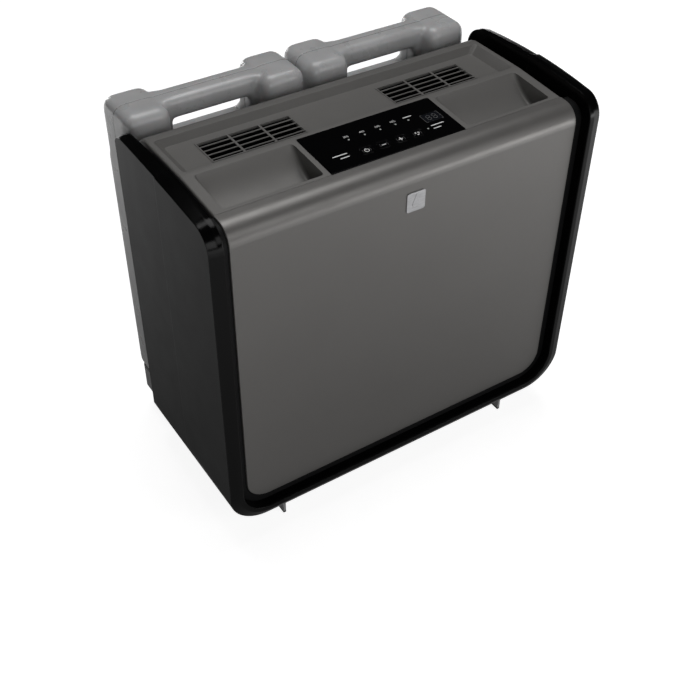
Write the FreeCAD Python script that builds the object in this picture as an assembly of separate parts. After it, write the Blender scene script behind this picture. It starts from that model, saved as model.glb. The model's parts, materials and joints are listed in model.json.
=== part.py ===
import FreeCAD, Part
import math
import os

# Console humidifier with two lift-out water bottles, in millimetres, +Z up.
# The shapes are drawn from the lower edge of the front panel: X to the right seen from the
# front, Y to the back, Z up.  place() then moves them to the part's own origin, which is
# the centre of the footprint on the floor.

Vec = FreeCAD.Vector

# ---- driving dimensions -------------------------------------------------------------
GROUND = -67.0            # floor below the front panel's lower edge
FRONT = -12.5             # foremost face of the gloss frame
BACK = 328.5              # rear face of the water bottles
GAP = 0.3                 # clearance between pieces that move apart
WALL = 3.0                # moulded wall

PANEL_HALF = 255.0        # front panel
PANEL_CORNER = 33.0
PANEL_BEND = 25.0
PANEL_TOP = 450.0
PANEL_END = 34.0          # where the bent top edge ends

FRAME_IN = 267.3          # inner face of the gloss U frame
FRAME_STRIP = 274.0       # outer edge of its flat front strip
FRAME_OUT = 287.0         # widest point of the sides
FRAME_FLOOR = -12.5       # inner face of the frame's bottom rail
FRAME_BOTTOM = -26.5
STRIP_BOTTOM = -19.5
IN_CORNER = 43.0
STRIP_CORNER = 50.0
OUT_CORNER = 57.0
BEVEL = 3.5
SEAM = 117.2              # joint between front frame and rear side panels
SIDE_BACK = 248.5
SIDE_TOP = 470.3
SIDE_KNEE = 464.0         # height at the ends of the crowned top, front and back
SIDE_SHOULDER = 467.2
SIDE_ROUND = 33.5
REAR_CHAMFER = 240.0      # where the side face turns in towards the rear edge
PANEL_STEP = 1.5          # the rear side panels sit this far inside the front frame
SEAM_GAP = 0.8
REAR_FOOT_ROUND = 26.0    # round of the side panels' lower rear corner

COVER_HALF = 255.0        # top cover
COVER_FRONT = 34.3
COVER_KNEE = 118.0
COVER_LOW = 450.5
COVER_HIGH = 456.0
COVER_BACK = 236.0
COVER_SKIRT = 430.0
COVER_ROUND = 3.0
TRAY_FLOOR = 445.5
TRAY_HALF = 247.0
TRAY_FRONT = 123.0
TRAY_BACK = 205.0
TRAY_SLOPE = 11.0         # draft of the tray's end walls
TRAY_DRAFT = 4.0          # draft of its front and rear walls

GRILLE_IN = 68.3          # slotted field of each outlet grille
GRILLE_OUT = 198.3
GRILLE_FRONT = 141.7
GRILLE_BACK = 187.0
GRILLE_RIM = 2.0
GRILLE_THICK = 1.0
GRILLE_SEAT = 0.6
GRILLE_BAR = 2.0
GRILLE_COLUMN_BAR = 3.0

GRIP_IN = 106.2           # hand-grip scoops
GRIP_OUT = 240.0
GRIP_FRONT = 39.5
GRIP_BACK = 112.5
GRIP_FLOOR = 421.0

FASCIA_HALF = 98.7        # control fascia
FASCIA_BACK = 116.6
FASCIA_THICK = 2.6
KEY_NAMES = ("power", "minus", "plus", "fan")
KEY_FIRST = -35.4
KEY_PITCH = 25.0
KEY_Y = 55.8
KEY_WIDE = 17.0
KEY_DEEP = 13.0
KEY_THICK = 3.2
KEY_TRAVEL = 0.8
LIGHT_PLACES = ((-42.4, 85.3), (-18.8, 85.3), (4.3, 85.3), (27.0, 85.3), (46.8, 85.3), (57.5, 57.9))
DISPLAY = (65.0, 69.0, 89.0, 86.0)
BOARD_TOP = 439.6

CHASSIS_HALF = 267.0
CHASSIS_WALL = 2.5
CHASSIS_TOP = 428.0
LEDGE_IN = 246.0          # inner edge of the ledges that carry the fan deck
RAIL_IN = 256.5
TUB_HALF = 262.0          # water tub
TUB_FRONT = 8.0
TUB_BACK = 232.0
TUB_TOP = 96.0
TUB_BOTTOM = -12.3
TUB_ROUND = 37.5
SHELF_BACK = 326.0        # shelf under the bottles
SHELF_TOP = 14.0
SHELF_BOTTOM = -26.0
SHELF_OPEN = 180.0        # half width of the opening below its front part
WELL_R = 37.0
WELL_FLOOR = -20.0

BOTTLE_X = 133.0          # bottle centres
BOTTLE_Y = 286.5
BOTTLE_WIDE = 260.0
BOTTLE_DEEP = 84.0
BOTTLE_LOW = 14.3
BOTTLE_TOP = 468.0
BOTTLE_CORNER = 18.0
HANDLE_DEEP = 41.0
HANDLE_LOW = 436.0
HANDLE_HALF = 56.5        # half length of the finger slot
RECESS_HALF = 69.0
SLOT_FLOOR = 400.0
RECESS_LOW = 391.0
NECK_R = 29.0
NECK_BORE = 25.5
NECK_LOW = -6.0
CAP_R = 34.0
CAP_LOW = -12.0
CAP_TOP = 13.0
STEM_BELOW = 3.0          # how far an open valve's stem stands out below the cap

FAN_Y = 133.0
FAN_HOLE = 93.0
FAN_TIP = 89.0
DECK_HALF = 255.0
DECK_FRONT = 36.0         # clear of the bent panel when the deck is lifted
DECK_BACK = 229.0
DECK_LOW = 362.0
DECK_TOP = 365.0
POST_X = 248.0
SHROUD_TOP = 402.0
ARM_END = 104.0
SHAFT_R = 4.0
RUNNING = 0.05

FOOT_X = 195.6
FOOT_LONG = 50.0
FOOT_THICK = 4.0
PAD_THICK = 3.0
FRONT_FOOT_Y = 7.3
REAR_FOOT_Y = 262.0
FOOT_FLANGE = 3.0
FOOT_FLANGE_HALF = 13.0
FOOT_BLOCK = 15.0         # half width of the block that a rear foot is screwed to
SCREW_R = 1.8
HEAD_R = 3.5

BADGE_HALF = 13.6
BADGE_Z = 399.0

FLOAT_X = 205.0
FLOAT_Y = 90.0

WICK_HALF = 196.0
WICK_FRONT = 196.0
WICK_BACK = 226.0
WICK_TOP = 286.0

GLAND_Y = 298.0           # cord gland in the right wall of the bottle shelf
GLAND_Z = -6.0
GLAND_NECK = 5.0
GLAND_BORE = 3.6


# ---- shape helpers ------------------------------------------------------------------
def box(x0, x1, y0, y1, z0, z1):
    low = Vec(min(x0, x1), min(y0, y1), min(z0, z1))
    return Part.makeBox(abs(x1 - x0), abs(y1 - y0), abs(z1 - z0), low)


def rod(x, y, z0, z1, radius):
    return Part.makeCylinder(radius, z1 - z0, Vec(x, y, z0))


def tube(x, y, z0, z1, outer, inner):
    return rod(x, y, z0, z1, outer).cut(rod(x, y, z0 - 1, z1 + 1, inner))


def fuse(shapes):
    first = shapes[0]
    if len(shapes) == 1:
        return first
    return first.multiFuse(shapes[1:]).removeSplitter()


def cut_all(shape, tools):
    for tool in tools:
        shape = shape.cut(tool)
    return shape


def mirror(shape):
    return shape.mirror(Vec(0, 0, 0), Vec(1, 0, 0))


def both_sides(shape):
    return [shape, mirror(shape)]


def edges_along(shape, axis):
    found = []
    for edge in shape.Edges:
        if edge.Curve.TypeId != "Part::GeomLine":
            continue
        first, last = edge.Vertexes[0].Point, edge.Vertexes[-1].Point
        direction = last.sub(first)
        if direction.Length < 1e-6:
            continue
        if abs(direction.normalize().dot(axis)) > 0.999:
            found.append(edge)
    return found


def block(x0, x1, y0, y1, z0, z1, corner, axis=None):
    """A box whose four edges along one axis are rounded."""
    shape = box(x0, x1, y0, y1, z0, z1)
    return shape.makeFillet(corner, edges_along(shape, axis or Vec(0, 0, 1)))


def extrude_x(points, x0, x1):
    """A prism along X from (y, z) points."""
    corners = [Vec(x0, y, z) for y, z in points]
    face = Part.Face(Part.makePolygon(corners + [corners[0]]))
    return face.extrude(Vec(x1 - x0, 0, 0))


def line(a, b):
    return Part.LineSegment(a, b).toShape()


def arc(a, b, c):
    return Part.Arc(a, b, c).toShape()


def quarter(centre, radius, start, y):
    """A quarter turn in the XZ plane, anticlockwise from the angle start."""
    at = [Vec(centre[0] + radius * math.cos(t), y, centre[1] + radius * math.sin(t))
          for t in (start, start + math.pi / 4, start + math.pi / 2)]
    return arc(*at)


# ---- the outer form -----------------------------------------------------------------
def u_wire(half, bottom, corner, top, y):
    """Upright outline with round lower corners, in the XZ plane."""
    left = quarter((corner - half, bottom + corner), corner, math.pi, y)
    right = quarter((half - corner, bottom + corner), corner, 1.5 * math.pi, y)
    edges = [line(Vec(-half, y, top), Vec(-half, y, bottom + corner)), left,
             line(Vec(corner - half, y, bottom), Vec(half - corner, y, bottom)), right,
             line(Vec(half, y, bottom + corner), Vec(half, y, top)),
             line(Vec(half, y, top), Vec(-half, y, top))]
    return Part.Wire(edges)


def u_prism(half, bottom, corner, top, y0, y1):
    return Part.Face(u_wire(half, bottom, corner, top, y0)).extrude(Vec(0, y1 - y0, 0))


def side_wire(inset, x):
    """Side outline of the case: round front and rear corners, gently crowned top."""
    front = FRONT + inset
    back = SIDE_BACK - inset
    low = FRAME_BOTTOM - 1
    radius = SIDE_ROUND - inset
    foot_r = REAR_FOOT_ROUND
    knee = SIDE_KNEE - inset
    shoulder = SIDE_SHOULDER - inset
    bend = 1 - math.sqrt(0.5)
    top_front = Vec(x, front + radius, knee)
    top_back = Vec(x, back - radius, shoulder)
    front_mid = Vec(x, front + radius * bend, knee - radius * bend)
    rear_mid = Vec(x, back - radius * bend, shoulder - radius * bend)
    foot_mid = Vec(x, back - foot_r * bend, low + foot_r * bend)
    edges = [line(Vec(x, front, low), Vec(x, front, knee - radius)),
             arc(Vec(x, front, knee - radius), front_mid, top_front),
             arc(top_front, Vec(x, SEAM, SIDE_TOP - inset), top_back),
             arc(top_back, rear_mid, Vec(x, back, shoulder - radius)),
             line(Vec(x, back, shoulder - radius), Vec(x, back, low + foot_r)),
             arc(Vec(x, back, low + foot_r), foot_mid, Vec(x, back - foot_r, low)),
             line(Vec(x, back - foot_r, low), Vec(x, front, low))]
    return Part.Wire(edges)


def side_prism(inset, x0, x1):
    return Part.Face(side_wire(inset, x0)).extrude(Vec(x1 - x0, 0, 0))


def plan_prism(inset):
    """Plan of the case: the sides bow outwards and turn in at the rear edge."""
    front_half, widest, back_half, rear_half = 285.6, FRAME_OUT, 283.0, 269.0
    low = FRAME_BOTTOM - 5
    outline = []
    for side in (1, -1):
        ends = [(front_half, FRONT), (widest, 95), (back_half, REAR_CHAMFER), (rear_half, SIDE_BACK)]
        points = [Vec(side * (x - inset), y, low) for x, y in ends]
        outline.append((arc(*points[:3]), line(points[2], points[3]), points))
    right, left = outline
    rear = line(right[2][3], left[2][3])
    front = line(left[2][0], right[2][0])
    edges = Part.__sortEdges__([right[0], right[1], rear, left[1], left[0], front])
    return Part.Face(Part.Wire(edges)).extrude(Vec(0, 0, 520))


def case_envelope(inset):
    """Outside of the case: a flat strip all round the opening, then a shallow bevel."""
    roof = side_prism(inset, -FRAME_STRIP, FRAME_STRIP)
    slope = Part.makeLoft([side_wire(inset, FRAME_STRIP), side_wire(inset + BEVEL, FRAME_OUT)], True, True)
    roof = fuse([roof] + both_sides(slope))
    strip = u_wire(FRAME_STRIP, STRIP_BOTTOM, STRIP_CORNER, 500, FRONT)
    edge = u_wire(FRAME_OUT, FRAME_BOTTOM, OUT_CORNER, 500, FRONT + BEVEL)
    nose = Part.makeLoft([strip, edge], True, True)
    rest = u_prism(FRAME_OUT, FRAME_BOTTOM, OUT_CORNER, 500, FRONT + BEVEL, SIDE_BACK)
    return roof.common(fuse([nose, rest])).common(plan_prism(inset))


def inner_space():
    return u_prism(FRAME_IN, FRAME_FLOOR, IN_CORNER, 520, FRONT - 5, SIDE_BACK + 5)


def wall_cavity(outer_half, y0, y1):
    """The hollow inside a double side wall."""
    space = side_prism(BEVEL + WALL + PANEL_STEP, FRAME_IN + WALL, outer_half)
    return space.common(box(200, 300, y0, y1, 36, 480))


def front_frame():
    shape = case_envelope(0).cut(inner_space())
    shape = shape.common(box(-300, 300, FRONT - 1, SEAM, -60, 500))
    shape = cut_all(shape, both_sides(wall_cavity(FRAME_OUT - 4.5, -5, SEAM + 1)))
    rail_half = FOOT_X - 18
    shape = shape.cut(box(-rail_half, rail_half, -5, SEAM + 1, FRAME_BOTTOM + WALL, FRAME_FLOOR - WALL))
    return shape.cut(foot_screw_holes())


def right_side_panel():
    shape = case_envelope(PANEL_STEP).cut(inner_space())
    shape = shape.common(box(190, 300, SEAM + SEAM_GAP, SIDE_BACK, -60, 500))
    return shape.cut(wall_cavity(FRAME_OUT - 10.5, SEAM, REAR_CHAMFER - 6))


def gland_rod(x0, x1, radius):
    return Part.makeCylinder(radius, x1 - x0, Vec(x0, GLAND_Y, GLAND_Z), Vec(1, 0, 0))


def cord_gland():
    """Strain-relief bush in the right wall of the bottle shelf."""
    wall_face, flange_thick, nose_long = TUB_HALF, 3.0, 9.0
    flange = gland_rod(wall_face, wall_face + flange_thick, 7.0)
    nose = Part.makeCone(6.2, 5.2, nose_long, Vec(wall_face + flange_thick, GLAND_Y, GLAND_Z), Vec(1, 0, 0))
    neck = gland_rod(wall_face - WALL - 2, wall_face, GLAND_NECK)
    return fuse([flange, nose, neck]).cut(gland_rod(wall_face - 20, wall_face + 20, GLAND_BORE))


def bent_sheet(outer, thick, half):
    """A sheet that stands upright and bends back at the top; outer is its inset."""
    def outline(inset):
        radius = PANEL_BEND - inset
        bend = math.sqrt(0.5)
        mid = Vec(-half, PANEL_BEND - radius * bend, PANEL_TOP - PANEL_BEND + radius * bend)
        start = Vec(-half, inset, PANEL_TOP - PANEL_BEND)
        end = Vec(-half, PANEL_BEND, PANEL_TOP - inset)
        return start, mid, end
    a0, a1, a2 = outline(outer)
    b0, b1, b2 = outline(outer + thick)
    low = -80.0
    rise = 0.5
    tip = Vec(-half, PANEL_END, PANEL_TOP + rise - outer)
    tip_in = Vec(-half, PANEL_END, PANEL_TOP + rise - outer - thick)
    edges = [line(Vec(-half, outer, low), a0), arc(a0, a1, a2), line(a2, tip), line(tip, tip_in),
             line(tip_in, b2), arc(b2, b1, b0), line(b0, Vec(-half, outer + thick, low)),
             line(Vec(-half, outer + thick, low), Vec(-half, outer, low))]
    return Part.Face(Part.Wire(edges)).extrude(Vec(2 * half, 0, 0))


def front_panel():
    sheet = bent_sheet(0, WALL, PANEL_HALF)
    shape = sheet.common(u_prism(PANEL_HALF, 0, PANEL_CORNER, 500, -1, 60))
    bend_start = PANEL_TOP - PANEL_BEND
    rim = [e for e in shape.Edges if e.BoundBox.YMax < 0.01 and e.BoundBox.ZMax < bend_start + 1]
    rim = [e for e in rim if e.BoundBox.ZMin < bend_start - 1]
    return shape.makeFillet(1.2, rim)


def badge():
    """A plain square tile with a raised drop, on the upper front."""
    tile = block(-BADGE_HALF, BADGE_HALF, -1.4, 0, BADGE_Z - BADGE_HALF, BADGE_Z + BADGE_HALF, 3.0, Vec(0, 1, 0))
    low = BADGE_Z - 3.0
    round_r = 5.5
    tip = Vec(0, -1.9, low + 14)
    side = math.radians(24)
    left = Vec(-round_r * math.cos(side), -1.9, low + round_r * math.sin(side))
    right = Vec(round_r * math.cos(side), -1.9, low + round_r * math.sin(side))
    bottom = Vec(0, -1.9, low - round_r)
    drop = Part.Face(Part.Wire([line(tip, left), arc(left, bottom, right), line(right, tip)]))
    return fuse([tile, drop.extrude(Vec(0, 0.6, 0))])


def chassis():
    """Black inner housing: front wall behind the panel, side walls, deck ledges, top rails."""
    front = bent_sheet(WALL, CHASSIS_WALL, CHASSIS_HALF)
    front = front.common(u_prism(CHASSIS_HALF, TUB_BOTTOM, IN_CORNER - 0.2, 500, 0, 60))
    inner = CHASSIS_HALF - CHASSIS_WALL
    inside = WALL + CHASSIS_WALL
    side = box(inner, CHASSIS_HALF, inside, TUB_BACK, TUB_TOP, CHASSIS_TOP)
    ledge = box(LEDGE_IN, inner, DECK_FRONT - 12, DECK_BACK, DECK_LOW - 9, DECK_LOW - GAP)
    foot = box(inner - 6, inner, 14, 226, TUB_TOP, TUB_TOP + 3)
    rail = box(RAIL_IN, inner, inside, TUB_BACK, CHASSIS_TOP - WALL, CHASSIS_TOP)
    front_ledge = box(-inner, inner, inside, DECK_FRONT + 4, DECK_LOW - WALL, DECK_LOW - GAP)
    walls = [front, front_ledge]
    for piece in (side, ledge, foot, rail):
        walls.extend(both_sides(piece))
    return fuse(walls)


# ---- water tub, feet ----------------------------------------------------------------
def duct(x, inset):
    """Water passage between a bottle's well and the tub."""
    return box(x - 18 + inset, x + 18 - inset, TUB_BACK - 5, BOTTLE_Y, TUB_BOTTOM + inset, SHELF_TOP - inset)


def water_tub():
    tub = box(-TUB_HALF, TUB_HALF, TUB_FRONT, TUB_BACK, TUB_BOTTOM, TUB_TOP)
    lower = [e for e in edges_along(tub, Vec(0, 1, 0)) if e.BoundBox.ZMax < 0]
    tub = tub.makeFillet(TUB_ROUND, lower)
    water = box(-TUB_HALF + WALL, TUB_HALF - WALL, TUB_FRONT + WALL, TUB_BACK - WALL,
                TUB_BOTTOM + WALL, TUB_TOP + 1)
    lower = [e for e in edges_along(water, Vec(0, 1, 0)) if e.BoundBox.ZMax < 0]
    tub = tub.cut(water.makeFillet(TUB_ROUND - WALL, lower))
    return cut_all(tub, [duct(x, WALL) for x in (-BOTTLE_X, BOTTLE_X)])


def bottle_shelf():
    """Hollow shelf that the bottles stand on, open below; its front part fits inside the case."""
    half, wide_from = TUB_HALF, SIDE_BACK + GAP
    top = SHELF_TOP - WALL
    neck = u_prism(half, TUB_BOTTOM, TUB_ROUND, 100, TUB_BACK, wide_from)
    neck_inside = u_prism(half - WALL, TUB_BOTTOM + WALL, TUB_ROUND - WALL, 100, TUB_BACK + WALL, wide_from)
    body = box(-half, half, wide_from, SHELF_BACK, SHELF_BOTTOM, SHELF_TOP)
    rear = [e for e in edges_along(body, Vec(0, 0, 1)) if e.BoundBox.YMin > 300]
    body = body.makeFillet(15.0, rear)
    shape = fuse([neck.common(box(-300, 300, 200, 400, -100, SHELF_TOP)), body])
    shape = shape.cut(neck_inside.common(box(-300, 300, 200, 400, -100, top)))
    shape = shape.cut(block(WALL - half, half - WALL, wide_from + WALL, SHELF_BACK - WALL,
                            SHELF_BOTTOM - 1, top, 12.0))
    shape = shape.cut(box(-SHELF_OPEN, SHELF_OPEN, TUB_BACK + WALL, wide_from + WALL + 20,
                          SHELF_BOTTOM - 1, top))
    parts = [shape]
    for x in (-FOOT_X, FOOT_X):
        parts.append(box(x - FOOT_BLOCK, x + FOOT_BLOCK, REAR_FOOT_Y - 3, REAR_FOOT_Y + FOOT_LONG + 3,
                         SHELF_BOTTOM, top))
    for x in (-BOTTLE_X, BOTTLE_X):
        parts.append(duct(x, 0).common(box(-300, 300, TUB_BACK, 400, -100, 100)))
    shape = fuse(parts)
    for x in (-BOTTLE_X, BOTTLE_X):
        shape = shape.cut(rod(x, BOTTLE_Y, SHELF_BOTTOM - 1, SHELF_TOP + 1, WELL_R + WALL))
        shape = shape.cut(duct(x, WALL))
    shape = shape.cut(gland_rod(half - WALL - 1, half + 1, GLAND_NECK + RUNNING))
    return shape.cut(foot_screw_holes())


def well(x):
    """Cup below a bottle's cap, with the post that opens its valve."""
    cup = tube(x, BOTTLE_Y, WELL_FLOOR - WALL, SHELF_TOP, WELL_R + WALL, WELL_R)
    floor = rod(x, BOTTLE_Y, WELL_FLOOR - WALL, WELL_FLOOR, WELL_R + WALL)
    post = rod(x, BOTTLE_Y, WELL_FLOOR, CAP_LOW - STEM_BELOW - GAP, 3.5)
    return fuse([cup, floor, post]).cut(duct(x, WALL))


def foot_places():
    places = []
    for x in (-FOOT_X, FOOT_X):
        places.append((x, FRONT_FOOT_Y, FRAME_BOTTOM))
        places.append((x, REAR_FOOT_Y, SHELF_BOTTOM))
    return places


def foot_screw_spots():
    spots = []
    for x, y, top in foot_places():
        inward = -8.0 if x > 0 else 8.0
        for along in (12.0, FOOT_LONG - 10.0):
            spots.append((x + inward, y + along, top))
    return spots


def foot_screw_holes():
    return fuse([rod(x, y, top - 5, top + 9, SCREW_R + 0.05) for x, y, top in foot_screw_spots()])


def foot(x, y, top):
    """A thin upright fin under a screw flange, with a gusset on its inner side."""
    low = GROUND + PAD_THICK
    fin = box(x - FOOT_THICK / 2, x + FOOT_THICK / 2, y, y + FOOT_LONG, low, top)
    flange = box(x - FOOT_FLANGE_HALF, x + FOOT_FLANGE_HALF, y + 3, y + FOOT_LONG, top - FOOT_FLANGE, top)
    side = -1 if x > 0 else 1
    reach = 11.0
    corners = [Vec(x, 0, top - 1), Vec(x + side * reach, 0, top - 1), Vec(x, 0, low + 6)]
    rib = Part.Face(Part.makePolygon(corners + [corners[0]])).extrude(Vec(0, 3, 0))
    rib.translate(Vec(0, y + FOOT_LONG / 2 - 1.5, 0))
    return fuse([fin, flange, rib]).cut(foot_screw_holes())


def foot_pads():
    pads = []
    for x, y, top in foot_places():
        pads.append(box(x - FOOT_THICK / 2, x + FOOT_THICK / 2, y, y + FOOT_LONG,
                        GROUND, GROUND + PAD_THICK))
    return Part.makeCompound(pads)


def foot_screws():
    screws = []
    for x, y, top in foot_screw_spots():
        head = rod(x, y, top - FOOT_FLANGE - 2.2, top - FOOT_FLANGE, HEAD_R)
        slot = box(x - 2.4, x + 2.4, y - 0.5, y + 0.5, top - FOOT_FLANGE - 3, top - FOOT_FLANGE - 1.2)
        shank = rod(x, y, top - FOOT_FLANGE, top + 8, SCREW_R)
        screws.append(fuse([head, shank]).cut(slot))
    return Part.makeCompound(screws)


# ---- rear intake, wick, float -------------------------------------------------------
def rear_intake_panel():
    half = CHASSIS_HALF
    shape = box(-half, half, TUB_BACK + 0.2, TUB_BACK + WALL, TUB_TOP + 0.3, 428)
    slots = []
    for column in range(6):
        x = -220 + column * 76
        for row in range(14):
            z = 116 + row * 17
            slots.append(box(x, x + 56, TUB_BACK - 2, TUB_BACK + 6, z, z + 8))
    return shape.cut(Part.makeCompound(slots))


def wick_frame():
    half, front, back = WICK_HALF, WICK_FRONT, WICK_BACK
    rim = 2.8
    low = TUB_BOTTOM + WALL
    tray = box(-half, half, front, back, low, 12)
    tray = tray.cut(box(rim - half, half - rim, front + rim, back - rim, low + rim, 13))
    uprights = both_sides(box(half - rim, half, front, back, 12, WICK_TOP))
    rails = [box(-half, half, y, y + rim, WICK_TOP - rim, WICK_TOP) for y in (front, back - rim)]
    return fuse([tray] + uprights + rails)


def wick_filter():
    """Pleated paper pad: its front and back faces are shallow vertical pleats."""
    half, pleat, count = WICK_HALF - 3.5, 3.0, 55
    front, back = WICK_FRONT + 8, WICK_BACK - 8
    low = TUB_BOTTOM + WALL + 3.2
    step = 2 * half / count
    face = [Vec(-half + i * step, front + (pleat if i % 2 else 0), low) for i in range(count + 1)]
    rear = [Vec(half - i * step, back - (pleat if i % 2 else 0), low) for i in range(count + 1)]
    points = face + rear
    return Part.Face(Part.makePolygon(points + [points[0]])).extrude(Vec(0, 0, WICK_TOP - 4 - low))


def float_guide():
    low = TUB_BOTTOM + WALL
    disc = rod(FLOAT_X, FLOAT_Y, low, low + 2.5, 13)
    post = rod(FLOAT_X, FLOAT_Y, low, 66, 3.0)
    return fuse([disc, post])


def water_float():
    low = TUB_BOTTOM + WALL + 2.8
    body = rod(FLOAT_X, FLOAT_Y, low, low + 24, 18)
    ends = [e for e in body.Edges if e.Curve.TypeId == "Part::GeomCircle"]
    body = body.makeFillet(3.0, ends)
    return body.cut(rod(FLOAT_X, FLOAT_Y, low - 1, low + 30, 3.3))


def float_switch():
    case = box(FLOAT_X - 10, FLOAT_X + 10, FLOAT_Y - 8, FLOAT_Y + 8, 66, 84)
    arm = box(FLOAT_X + 10, CHASSIS_HALF - CHASSIS_WALL - 6, FLOAT_Y - 5, FLOAT_Y + 5, 78, 84)
    clip = box(CHASSIS_HALF - CHASSIS_WALL - 6.5, CHASSIS_HALF - CHASSIS_WALL - 6, FLOAT_Y - 5, FLOAT_Y + 5, 78, 95)
    return fuse([case, arm, clip])


# ---- top cover ----------------------------------------------------------------------
def cover_height(y):
    return COVER_LOW + (y - COVER_FRONT) * (COVER_HIGH - COVER_LOW) / (COVER_KNEE - COVER_FRONT)


def cover_profile(drop, inset, low):
    """Side section of the cover's skin, moved in by inset and down by drop."""
    front = COVER_FRONT + inset
    back = COVER_BACK - inset
    return [(front, low), (front, cover_height(front) - drop), (COVER_KNEE, COVER_HIGH - drop),
            (214, COVER_HIGH - drop), (222 - inset / 2, 453.5 - drop), (229 - inset / 2, 448 - drop),
            (back - 1.5, 441 - drop), (back, 436 - drop), (back, low)]


def rectangle(half, y0, y1, z):
    corners = [Vec(-half, y0, z), Vec(half, y0, z), Vec(half, y1, z), Vec(-half, y1, z)]
    return Part.makePolygon(corners + [corners[0]])


def tray_form(grow):
    """The outlet tray's hollow, with drafted walls; grow makes it larger all round."""
    low, high = TRAY_FLOOR - grow, COVER_HIGH + 0.02
    deep = high - TRAY_FLOOR
    bottom = rectangle(TRAY_HALF - TRAY_SLOPE + grow, TRAY_FRONT + TRAY_DRAFT - grow,
                       TRAY_BACK - TRAY_DRAFT + grow, low)
    top = rectangle(TRAY_HALF + grow, TRAY_FRONT - grow, TRAY_BACK + grow, TRAY_FLOOR + deep)
    form = Part.makeLoft([bottom, top], True, True)
    rise = [e for e in form.Edges if e.BoundBox.ZLength > deep - 0.1]
    return form.makeFillet(6.0, rise)


def grip_tool():
    """The scoop: upright front wall, floor sweeping up to the rear edge."""
    x0, x1 = GRIP_IN, GRIP_OUT
    a = Vec(x0, GRIP_FRONT, 470)
    b = Vec(x0, GRIP_FRONT, GRIP_FLOOR + 6)
    c = Vec(x0, GRIP_FRONT + 6, GRIP_FLOOR)
    mid = Vec(x0, GRIP_FRONT + 1.8, GRIP_FLOOR + 1.8)
    sweep = Vec(x0, 80, 428.5)
    d = Vec(x0, GRIP_BACK, cover_height(GRIP_BACK) + 0.01)
    e = Vec(x0, GRIP_BACK, 470)
    wire = Part.Wire([line(a, b), arc(b, mid, c), arc(c, sweep, d), line(d, e), line(e, a)])
    shape = Part.Face(wire).extrude(Vec(x1 - x0, 0, 0))
    corners = [edge for edge in edges_along(shape, Vec(0, 0, 1)) if edge.BoundBox.YMax < GRIP_FRONT + 1]
    return shape.makeFillet(5.0, corners)


def grip_pocket():
    points = [(GRIP_FRONT - WALL, 449), (GRIP_FRONT - WALL, GRIP_FLOOR - WALL), (70, GRIP_FLOOR - WALL),
              (92, 430), (GRIP_BACK + 2, 448), (GRIP_BACK + 2, 453)]
    return extrude_x(points, GRIP_IN - WALL, GRIP_OUT + WALL)


def key_x(index):
    return KEY_FIRST + index * KEY_PITCH


def top_cover():
    skin = extrude_x(cover_profile(0, 0, COVER_SKIRT), -COVER_HALF, COVER_HALF)
    long_edges = [e for e in skin.Edges
                  if abs(e.BoundBox.XMin) > COVER_HALF - 0.1 and e.BoundBox.XLength < 0.1
                  and e.BoundBox.ZMin > 440.5 and e.BoundBox.ZMax > 447.9]
    skin = skin.makeFillet(COVER_ROUND, long_edges)
    inside = extrude_x(cover_profile(WALL, WALL, COVER_SKIRT - 1), -COVER_HALF + WALL, COVER_HALF - WALL)
    backing = sloped_slab(-FASCIA_HALF - 4, FASCIA_HALF + 4, COVER_FRONT + WALL, FASCIA_BACK + 4,
                          -WALL + 0.2, FASCIA_THICK + 2)
    tray = tray_form(WALL).common(box(-300, 300, 100, 300, 400, COVER_HIGH - 2))
    shape = fuse([skin.cut(inside), backing, tray] + both_sides(grip_pocket()))
    shape = shape.cut(tray_form(0))
    shape = cut_all(shape, both_sides(grip_tool()))
    seat = box(GRILLE_IN - GRILLE_RIM - 0.3, GRILLE_OUT + GRILLE_RIM + 0.3,
               GRILLE_FRONT - GRILLE_RIM - 0.3, GRILLE_BACK + GRILLE_RIM + 0.3, TRAY_FLOOR - GRILLE_SEAT, 450)
    outlet = box(GRILLE_IN + 0.5, GRILLE_OUT - 0.5, GRILLE_FRONT + 0.5, GRILLE_BACK - 0.5, 430, 450)
    shape = cut_all(shape, both_sides(seat) + both_sides(outlet))
    recess = sloped_slab(-FASCIA_HALF - GAP, FASCIA_HALF + GAP, COVER_FRONT - 1, FASCIA_BACK + GAP,
                         10, FASCIA_THICK)
    shape = shape.cut(recess)
    posts = []
    for x in (-76, 92):
        for y in (44, 102):
            posts.append(rod(x, y, BOARD_TOP, cover_height(y) - FASCIA_THICK - 1.5, 2.6))
    shape = fuse([shape] + posts)
    window = box(-56, 96, 47, 96, 430, 470)
    return shape.cut(window)


def grille():
    """Outlet grille of the right side: three columns of thin bars."""
    plate = box(GRILLE_IN - GRILLE_RIM, GRILLE_OUT + GRILLE_RIM, GRILLE_FRONT - GRILLE_RIM,
                GRILLE_BACK + GRILLE_RIM, TRAY_FLOOR - GRILLE_SEAT, TRAY_FLOOR - GRILLE_SEAT + GRILLE_THICK)
    column = (GRILLE_OUT - GRILLE_IN - 2 * GRILLE_COLUMN_BAR) / 3
    thin = 3.6
    full = (GRILLE_BACK - GRILLE_FRONT - thin - 4 * GRILLE_BAR) / 4
    slots = []
    for index in range(3):
        x0 = GRILLE_IN + index * (column + GRILLE_COLUMN_BAR)
        y0 = GRILLE_FRONT
        for depth in [thin] + [full] * 4:
            slots.append(box(x0, x0 + column, y0, y0 + depth, TRAY_FLOOR - 4, TRAY_FLOOR + 4))
            y0 += depth + GRILLE_BAR
    return plate.cut(Part.makeCompound(slots))


def sloped_slab(x0, x1, y0, y1, above, below):
    """A slab that follows the slope of the cover's front half."""
    points = [(y0, cover_height(y0) + above), (y1, cover_height(y1) + above),
              (y1, cover_height(y1) - below), (y0, cover_height(y0) - below)]
    return extrude_x(points, x0, x1)


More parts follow.
